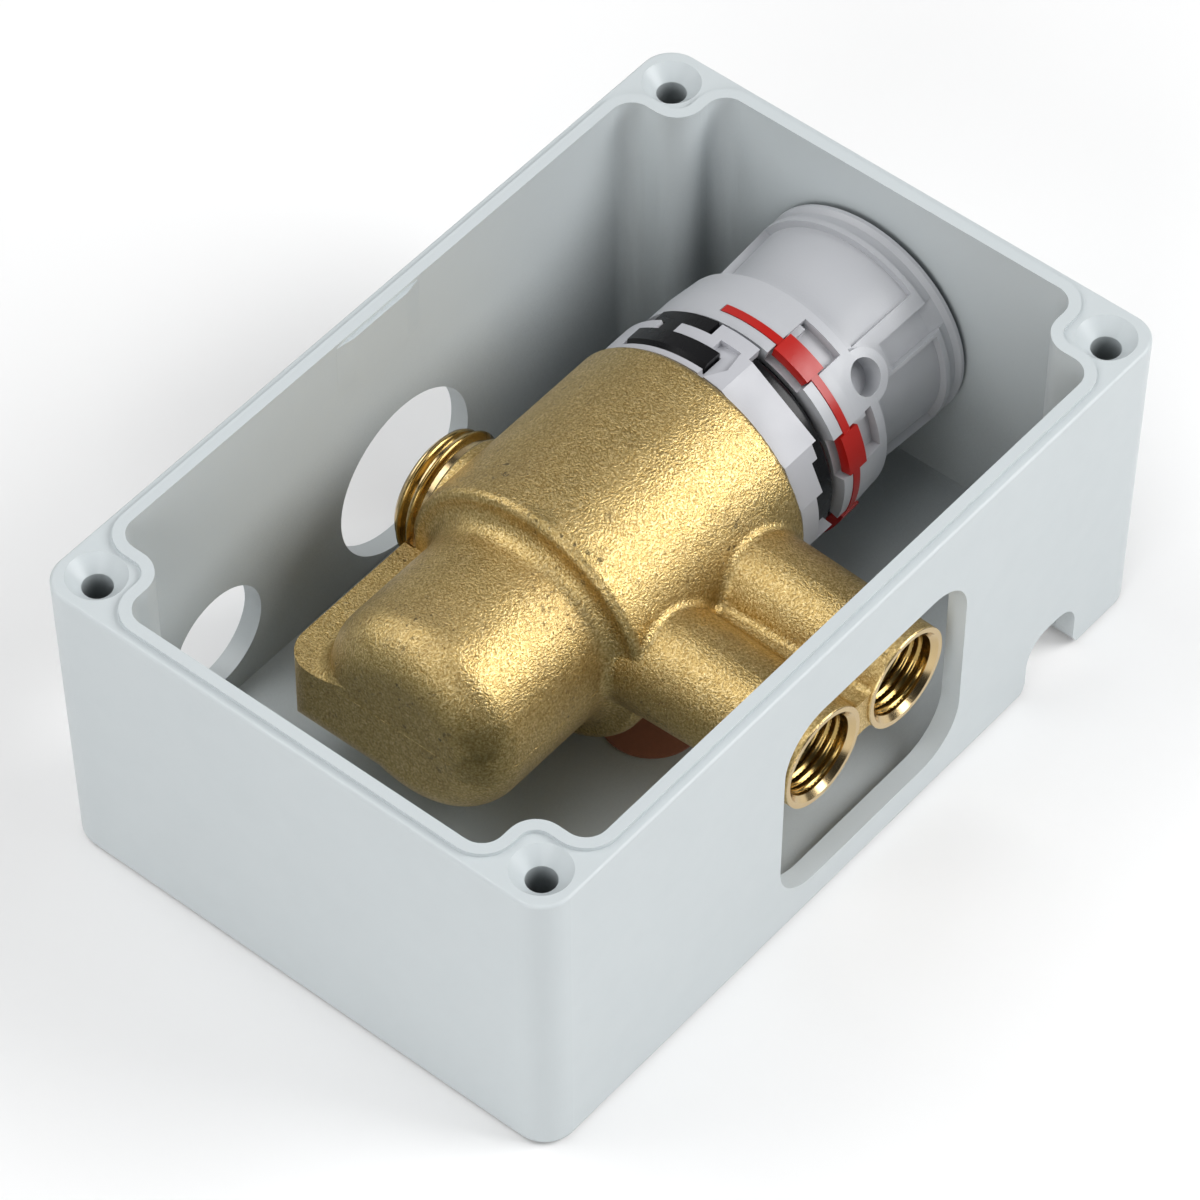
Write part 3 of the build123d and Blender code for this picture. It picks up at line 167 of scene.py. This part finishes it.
def inside_cylinder(tree, point, centre, along, radius, low, high, soft=0.15 * MM):
    """1 inside a cylinder about a line along X (0) or Y (1) through centre, between low and high, else 0."""
    across = [1.0, 1.0, 1.0]
    across[along] = 0.0
    offset = add(tree, "ShaderNodeVectorMath", {0: point, 1: tuple(centre)}, operation="SUBTRACT").outputs[0]
    flat = add(tree, "ShaderNodeVectorMath", {0: offset, 1: tuple(across)}, operation="MULTIPLY").outputs[0]
    distance = add(tree, "ShaderNodeVectorMath", {0: flat}, operation="LENGTH").outputs["Value"]
    round_part = remap(tree, distance, radius - soft, radius + soft, 1.0, 0.0)
    coordinate = add(tree, "ShaderNodeSeparateXYZ", {0: point}).outputs[along]
    above = remap(tree, coordinate, low - soft, low + soft)
    below = remap(tree, coordinate, high - soft, high + soft, 1.0, 0.0)
    return math_node(tree, "MULTIPLY", round_part, math_node(tree, "MULTIPLY", above, below))


def near(tree, point, centre, radius, uneven):
    """1 close to a point given in millimetres, 0 beyond the radius, with an uneven edge."""
    distance = add(tree, "ShaderNodeVectorMath", {0: point, 1: tuple(c * MM for c in centre)},
                   operation="DISTANCE").outputs["Value"]
    ragged = math_node(tree, "MULTIPLY", distance, uneven)
    return remap(tree, ragged, radius * 0.6 * MM, radius * MM, 1.0, 0.0)


def new_material(name):
    """A material with its principled shader, ready for its nodes."""
    made = bpy.data.materials.new(name)
    made.use_nodes = True
    tree = made.node_tree
    return made, tree, tree.nodes["Principled BSDF"]


# Reach of the painted shade in hollows
PAINTED_SHADE_REACH = 35 * MM


def plastic(name, colour, roughness, grain=0.012, shade=0.05, rough_range=0.06, painted_shade_depth=1.0, shine=0.5):
    """Moulded plastic: a fine spark-eroded skin, faint flow marks, slightly uneven gloss, and, when asked for,
    painted shade that darkens the colour in hollows.
    """
    made, tree, shader = new_material(name)
    point = place(tree)
    flow = noise(tree, point, 45.0, 3.0)
    darker = tuple(c * (1 - shade) for c in colour)
    skin_colour = mix_colour(tree, flow, darker, colour)
    # Painted shade: an ambient occlusion node darkens the colour in hollows and deep inside the box.
    if painted_shade_depth < 1.0:
        open_share = add(tree, "ShaderNodeAmbientOcclusion", {"Distance": PAINTED_SHADE_REACH}, samples=8).outputs["AO"]
        painted_hollow_shade = remap(tree, open_share, 0.08, 0.36, painted_shade_depth, 1.0)
        skin_colour = mix_colour(tree, 1.0, skin_colour, painted_hollow_shade, "MULTIPLY")
    tree.links.new(skin_colour, shader.inputs["Base Color"])
    shader.inputs["Specular IOR Level"].default_value = shine
    patch = noise(tree, point, 220.0, 2.0)
    tree.links.new(remap(tree, patch, 0.3, 0.7, roughness - rough_range, roughness + rough_range),
                   shader.inputs["Roughness"])
    skin = noise(tree, point, 3200.0, 2.0, 0.6)
    tree.links.new(bump(tree, skin, grain * MM), shader.inputs["Normal"])
    return made


# Marks that the photo shows on the casting, in millimetres: nicks on the closed end and the shoulder's top, and
# darker olive patches on the closed end's lower corner and the shoulder's top
NICKS = [((-38.9, 6.7, 45.0), 0.42), ((-37.3, 0.8, 44.9), 0.32), ((-40.5, -3.4, 32.9), 0.40),
         ((-13.1, 8.8, 49.8), 0.36), ((-13.2, 6.9, 50.0), 0.26), ((-13.1, 4.6, 50.3), 0.34),
         ((-13.1, 2.5, 50.2), 0.42),
         ((-12.8, 0.2, 50.0), 0.30), ((-12.5, -1.7, 49.5), 0.36), ((-12.1, -3.8, 48.8), 0.34),
         ((-11.5, -5.6, 48.0), 0.40), ((-10.9, -7.3, 47.1), 0.42)]
DARK_OLIVE_PATCHES = [((-38.6, -9.4, 34.5), 5.2), ((-38.9, -8.8, 29.0), 4.6), ((-12.4, 2.0, 50.0), 3.2),
          ((-11.4, -6.0, 47.8), 3.2)]
BORE_DEPTH = 26 * MM


def brass_cast():
    """Sand-cast brass with machined faces at the ports, the outlet and the mouth, and painted shade inside the inlet
    bores.
    """
    made, tree, shader = new_material("cast_brass")
    shader.inputs["Metallic"].default_value = 1.0
    point = place(tree)
    turned = inside_cylinder(tree, point, OUTLET, 1, mount_radius("outlet_thread") + 0.3 * MM,
                             casting_high.y - mount_length("outlet_thread") - 0.1 * MM, casting_high.y + MM)
    areas = [inside_cylinder(tree, point, axis_point, 0, 30 * MM, casting_high.x - 0.12 * MM, casting_high.x + MM)]
    painted_bore_shade_areas = []
    front = casting_low.y
    for centre in INLETS:
        areas.append(inside_cylinder(tree, point, centre, 1, 8.2 * MM, front - MM, front + 0.15 * MM))
        areas.append(inside_cylinder(tree, point, centre, 1, 7.45 * MM, front - MM, front + BORE_DEPTH))
        # Where the painted shade goes: deeper than 0.9 mm inside each inlet bore.
        painted_bore_shade_areas.append(inside_cylinder(tree, point, centre, 1, 7.0 * MM, front + 0.9 * MM, front + BORE_DEPTH))
    for area in areas:
        turned = math_node(tree, "MAXIMUM", turned, area)
    painted_bore_shade = math_node(tree, "MAXIMUM", *painted_bore_shade_areas)
    # Sand skin: small facets with finer ones on them, long soft waves and scattered dark pits
    facets = noise(tree, point, 2700.0, 2.2, 0.55)
    fine = noise(tree, point, 5200.0, 1.0, 0.5)
    grains = mix_value(tree, 0.28, facets, fine)
    uneven = remap(tree, fine, 0.2, 0.8, 0.6, 1.5)
    patch_ragging = remap(tree, noise(tree, point, 420.0, 4.0, 0.65), 0.3, 0.7, 0.5, 1.9)
    waves = noise(tree, point, 210.0, 2.0)
    pits = remap(tree, noise(tree, point, 900.0, 3.0, 0.7), 0.61, 0.66)
    stain = noise(tree, point, 85.0, 3.0, 0.6)
    dull = remap(tree, stain, 0.50, 0.66)
    pitted = math_node(tree, "MULTIPLY", pits, dull)
    for centre, radius in NICKS:
        pitted = math_node(tree, "MAXIMUM", pitted, near(tree, point, centre, radius, uneven))
    skin = ramp(tree, grains, [(0.34, (0.36, 0.235, 0.078)), (0.50, (0.55, 0.395, 0.155)),
                               (0.64, (0.77, 0.60, 0.30))])
    skin = mix_colour(tree, math_node(tree, "MULTIPLY", dull, 0.30), skin, (0.38, 0.285, 0.14))
    skin = mix_colour(tree, math_node(tree, "MULTIPLY", pitted, 0.75), skin, (0.10, 0.08, 0.045))
    # Darker olive patches with ragged edges at the listed points, on the closed end's lower corner and the
    # shoulder's top.
    for centre, radius in DARK_OLIVE_PATCHES:
        olive_darkening = math_node(tree, "MULTIPLY", near(tree, point, centre, radius, patch_ragging), 0.30)
        skin = mix_colour(tree, olive_darkening, skin, (0.17, 0.135, 0.045))
    faced = mix_colour(tree, turned, skin, (0.60, 0.45, 0.24))
    # Painted shade: the inside of the inlet bores is painted dark brown.
    tree.links.new(mix_colour(tree, painted_bore_shade, faced, (0.24, 0.16, 0.055)), shader.inputs["Base Color"])
    rough = remap(tree, stain, 0.35, 0.65, 0.34, 0.44)
    tree.links.new(mix_value(tree, turned, rough, 0.20), shader.inputs["Roughness"])
    relief = math_node(tree, "ADD", grains, math_node(tree, "MULTIPLY", waves, 0.9))
    relief = math_node(tree, "SUBTRACT", relief, math_node(tree, "MULTIPLY", pitted, 0.4))
    relief = math_node(tree, "MULTIPLY", relief, math_node(tree, "SUBTRACT", 1.0, turned))
    tree.links.new(bump(tree, relief, 0.20 * MM, 1.0), shader.inputs["Normal"])
    return made


def brass_turned():
    """Machined brass with fine tool marks across the ports' and the outlet's axes."""
    made, tree, shader = new_material("turned_brass")
    shader.inputs["Metallic"].default_value = 1.0
    point = place(tree)
    marks = add(tree, "ShaderNodeTexWave", {"Vector": point, "Scale": 900.0, "Distortion": 2.0, "Detail": 2.0},
                bands_direction="Y").outputs["Fac"]
    cloud = noise(tree, point, 300.0, 3.0)
    tree.links.new(mix_colour(tree, cloud, (0.34, 0.225, 0.07), (0.48, 0.34, 0.13)), shader.inputs["Base Color"])
    tree.links.new(remap(tree, cloud, 0.3, 0.7, 0.16, 0.30), shader.inputs["Roughness"])
    tree.links.new(bump(tree, marks, 0.01 * MM, 0.5), shader.inputs["Normal"])
    return made


def steel():
    made, tree, shader = new_material("steel")
    shader.inputs["Metallic"].default_value = 1.0
    point = place(tree)
    cloud = noise(tree, point, 500.0, 2.0)
    tree.links.new(mix_colour(tree, cloud, grey(0.55), grey(0.66)), shader.inputs["Base Color"])
    tree.links.new(remap(tree, cloud, 0.3, 0.7, 0.22, 0.34), shader.inputs["Roughness"])
    return made


def rubber():
    made, tree, shader = new_material("seal_rubber")
    point = place(tree)
    cloud = noise(tree, point, 900.0, 2.0)
    tree.links.new(mix_colour(tree, cloud, grey(0.012), grey(0.03)), shader.inputs["Base Color"])
    tree.links.new(remap(tree, cloud, 0.3, 0.7, 0.45, 0.6), shader.inputs["Roughness"])
    return made


def label_film():
    """Matt reddish-brown film with a fine paper-like grain."""
    made, tree, shader = new_material("label_film")
    point = place(tree)
    grain = noise(tree, point, 1600.0, 3.0)
    tree.links.new(mix_colour(tree, grain, (0.30, 0.115, 0.07), (0.40, 0.17, 0.11)), shader.inputs["Base Color"])
    tree.links.new(remap(tree, grain, 0.3, 0.7, 0.5, 0.62), shader.inputs["Roughness"])
    tree.links.new(bump(tree, grain, 0.01 * MM), shader.inputs["Normal"])
    return made


MATERIALS = {
    # The box plastic gets painted shade in its hollows, down to 0.45 of its colour.
    "box_plastic": plastic("box_plastic", (0.575, 0.62, 0.635), 0.40, painted_shade_depth=0.45),
    "label_film": label_film(),
    "cast_brass": brass_cast(),
    "turned_brass": brass_turned(),
    "white_plastic": plastic("white_plastic", (0.80, 0.80, 0.76), 0.45),
    "steel": steel(),
    "black_plastic": plastic("black_plastic", (0.006, 0.006, 0.007), 0.26, 0.01, shine=0.22),
    "collar_plastic": plastic("collar_plastic", (0.47, 0.475, 0.505), 0.42, 0.02),
    "knob_plastic": plastic("knob_plastic", (0.47, 0.48, 0.505), 0.38, 0.015),
    "red_plastic": plastic("red_plastic", (0.43, 0.010, 0.006), 0.34, 0.01),
    "seal_rubber": rubber(),
}
for entry in frame["record"]["subparts"]:
    piece = nodes[entry["node"]]
    piece.data.materials.clear()
    piece.data.materials.append(MATERIALS[entry["material_slot"]])


# Pieces of the scene's own
def mesh_piece(name, points, faces, material, body, slot, smooth=True):
    """A closed piece from its points and faces, riding on a body."""
    mesh = bpy.data.meshes.new(name)
    mesh.from_pydata([tuple(p) for p in points], [], faces)
    shell = bmesh.new()
    shell.from_mesh(mesh)
    bmesh.ops.recalc_face_normals(shell, faces=shell.faces)
    shell.to_mesh(mesh)
    shell.free()
    mesh.materials.append(MATERIALS[material])
    mesh.validate()
    mesh.update()
    made = bpy.data.objects.new(name, mesh)
    bpy.context.scene.collection.objects.link(made)
    if smooth:
        for face in mesh.polygons:
            face.use_smooth = True
    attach(made, body)
    return made


def thread(name, centre, start, end, root, crest, pitch):
    """A rounded right-hand ridge about a line along Y through centre, from the root radius to the crest radius."""
    steps = 60
    count = int(abs((end - start) / pitch) * steps)
    lift = [(-0.50, 0.0), (-0.36, 0.10), (-0.22, 0.52), (-0.08, 0.96), (0.08, 0.96), (0.22, 0.52), (0.36, 0.10),
            (0.50, 0.0)]
    buried = -0.3
    profile = lift + [(0.50, buried), (-0.50, buried)]
    points = []
    for i in range(count + 1):
        angle = -tau * i / steps
        along = start + (end - start) * i / count
        fade = min(1.0, i / (steps * 0.3), (count - i) / (steps * 0.3))
        for offset, share in profile:
            r = root + (crest - root) * (share if share == buried else share * fade)
            points.append((centre.x + r * cos(angle), along + offset * pitch * 0.999,
                           centre.z + r * sin(angle)))
    n = len(profile)
    faces = [tuple(range(n))[::-1], tuple(count * n + k for k in range(n))]
    for i in range(count):
        for k in range(n):
            a, b = i * n + k, i * n + (k + 1) % n
            faces.append((a, b, b + n, a + n))
    return mesh_piece(name, points, faces, "turned_brass", "box", "cast_brass")


# Threads, G1/2 outside on the outlet and G1/4 inside the inlets
outlet_half = mount_length("outlet_thread")
thread("outlet_thread_ridge", OUTLET, OUTLET.y - outlet_half + 0.9 * MM, OUTLET.y - 0.9 * MM, 9.3 * MM,
       mount_radius("outlet_thread"), 1.814 * MM)
for side, centre in zip(("hot", "cold"), INLETS):
    half = mount_length(f"{side}_inlet") / 2
    thread(f"{side}_inlet_thread_ridge", centre, centre.y - half + 0.7 * MM, centre.y + half - 0.7 * MM,
           mount_radius(f"{side}_inlet") + 0.02 * MM, 6.15 * MM, 1.337 * MM)


def world_mesh(node):
    """A CAD node's points in the frame, and its faces."""
    return [node.matrix_world @ v.co for v in node.data.vertices], [tuple(p.vertices) for p in node.data.polygons]


# Parting line of the casting, a low ridge round the closed end and along the near barrel
casting_tree = BVHTree.FromPolygons(*world_mesh(nodes["valve_body"]))
PARTING_STEP = 0.6


def parting_path():
    """Points on the casting at the axis's height, each with its outward normal."""
    path = []
    y = 16.5
    while y > -12.0:
        place_hit, normal, _, _ = casting_tree.ray_cast(Vector((-60 * MM, y * MM, VALVE_Z)), Vector((1, 0, 0)))
        if place_hit is None or abs(normal.x) < 0.6:
            break
        path.append((place_hit, normal))
        y -= PARTING_STEP
    x = path[-1][0].x / MM + 0.4
    while x < -17.0:
        place_hit, normal, _, _ = casting_tree.ray_cast(Vector((x * MM, -30 * MM, VALVE_Z)), Vector((0, 1, 0)))
        path.append((place_hit, normal))
        x += PARTING_STEP
    return path


def ridge(name, path, half_width, height):
    """A low ridge along points on the casting."""
    points = []
    for i, (here, normal) in enumerate(path):
        along = (path[min(i + 1, len(path) - 1)][0] - path[max(i - 1, 0)][0]).normalized()
        across = along.cross(normal).normalized()
        foot = here - normal * 0.08 * MM
        proud = height * (0.25 + 0.75 * abs(sin(i * 1.7) * cos(i * 0.43)))
        points += [foot - across * half_width, here + normal * proud, foot + across * half_width]
    faces = [(0, 1, 2), tuple(3 * (len(path) - 1) + k for k in range(3))]
    for i in range(len(path) - 1):
        for k in range(3):
            a, b = i * 3 + k, i * 3 + (k + 1) % 3
            faces.append((a, b, b + 3, a + 3))
    return mesh_piece(name, points, faces, "cast_brass", "box", "cast_brass", smooth=False)


ridge("casting_parting_line", parting_path(), 0.20 * MM, 0.08 * MM)


# Soft sides of the catch on the outlet wall, which swells out of the wall in the photo
shell_tree = BVHTree.FromPolygons(*world_mesh(nodes["box_shell"]))
CATCH_X = -0.5 * MM
CATCH_HALF = 5.65 * MM
CATCH_DEPTH = 9.0 * MM
LIP = 0.65 * MM
RAMP = 3.2 * MM
shell_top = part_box("box_shell")[1].z


def inner_wall(x, z):
    below_rim = min(z, shell_top - 1.8 * MM)
    return shell_tree.ray_cast(Vector((x, 30 * MM, below_rim)), Vector((0, 1, 0)))[0].y


for side in (-1, 1):
    edge = CATCH_X + side * (CATCH_HALF - 0.05 * MM)
    points = []
    foot = edge + side * RAMP
    for z in (shell_top - 0.68 * MM, shell_top - LIP - CATCH_DEPTH):
        face = inner_wall(edge - side * 0.5 * MM, max(z, shell_top - CATCH_DEPTH))
        points += [(edge, face, z), (foot, inner_wall(foot, z), z), (edge, face + 0.7 * MM, z)]
    mesh_piece(f"catch_side_{'near' if side < 0 else 'far'}", points,
               [(0, 1, 2), (3, 4, 5), (0, 1, 4, 3), (1, 2, 5, 4), (2, 0, 3, 5)], "box_plastic", "box", "box_plastic",
               smooth=False)


# Springs copied as pieces of their own in place of the rigid ones, which are hidden: joint, axis, fixed end and
# travel
SPRINGS = [("hot_check_spring", "hot_check_slide", 1, -21.4 * MM, 2.0 * MM),
           ("cold_check_spring", "cold_check_slide", 1, -21.4 * MM, 2.0 * MM),
           ("return_spring", "shuttle_slide", 0, -14.7 * MM, 0.51 * MM)]
for name, joint, along, fixed, travel in SPRINGS:
    coil = mesh_piece(f"{name}_coil", *world_mesh(nodes[name]), "steel", "box", "steel", smooth=False)
    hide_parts(name)
    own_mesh(coil)


# Camera at the photo's place
LENS = 191.25
SENSOR = 36.0
CAMERA_PLACE = Vector((-0.45020, -0.37310, 0.70913))
CAMERA_TARGET = Vector((-0.004445, -0.001909, 0.0288))
camera = bpy.data.objects.new("camera", bpy.data.cameras.new("camera"))
bpy.context.scene.collection.objects.link(camera)
camera.data.lens = LENS
camera.data.sensor_width = SENSOR
camera.data.clip_start = 0.01
camera.data.clip_end = 20.0
camera.location = CAMERA_PLACE
camera.rotation_euler = (CAMERA_TARGET - CAMERA_PLACE).to_track_quat("-Z", "Y").to_euler()
bpy.context.scene.camera = camera


# Floor, seen as white by the camera and in reflections, with the object's shadow
FLOOR_GLOW = 0.115


def stage_floor():
    mesh = bpy.data.meshes.new("floor")
    half = 3.0
    corners = [(-half, -half, 0), (half, -half, 0), (half, half, 0), (-half, half, 0)]
    mesh.from_pydata(corners, [], [(0, 1, 2, 3)])
    floor = bpy.data.objects.new("floor", mesh)
    bpy.context.scene.collection.objects.link(floor)
    floor.location.z = -0.0002
    made, tree, shader = new_material("floor_white")
    tree.nodes.remove(shader)
    path = add(tree, "ShaderNodeLightPath")
    seen = math_node(tree, "MAXIMUM", path.outputs["Is Camera Ray"], path.outputs["Is Glossy Ray"])
    seen = math_node(tree, "MAXIMUM", seen, path.outputs["Is Transmission Ray"])
    matt = add(tree, "ShaderNodeBsdfDiffuse", {"Color": (0.80, 0.80, 0.80, 1.0)})
    glow = add(tree, "ShaderNodeEmission", {"Color": (1.0, 1.0, 1.0, 1.0),
                                            "Strength": math_node(tree, "MULTIPLY", seen, FLOOR_GLOW)})
    both = add(tree, "ShaderNodeAddShader", {0: matt.outputs[0], 1: glow.outputs[0]})
    tree.links.new(both.outputs[0], tree.nodes["Material Output"].inputs["Surface"])
    mesh.materials.append(made)


stage_floor()


# Soft studio light
def softbox(name, direction, distance, size, watts):
    light = bpy.data.lights.new(name, "AREA")
    light.shape = "SQUARE"
    light.size = size
    light.energy = watts
    lamp = bpy.data.objects.new(name, light)
    bpy.context.scene.collection.objects.link(lamp)
    lamp.location = Vector(direction).normalized() * distance
    lamp.rotation_euler = (-lamp.location).to_track_quat("-Z", "Y").to_euler()


softbox("key", (0.5, -0.62, 0.60), 1.5, 0.9, 19.0)
softbox("left", (-1.0, -0.35, 0.42), 1.5, 0.9, 11.0)
softbox("back_left", (-0.35, 0.75, 0.85), 1.7, 1.3, 12.0)
softbox("back", (0.8, 0.65, 0.52), 1.8, 1.6, 3.0)
softbox("top", (-0.1, 0.15, 1.0), 1.6, 1.2, 7.0)

world = bpy.data.worlds.new("studio")
world.use_nodes = True
bpy.context.scene.world = world
world.node_tree.nodes["Background"].inputs["Color"].default_value = (0.93, 0.96, 1.0, 1.0)
world.node_tree.nodes["Background"].inputs["Strength"].default_value = 0.03
bpy.context.scene.view_settings.view_transform = "Standard"
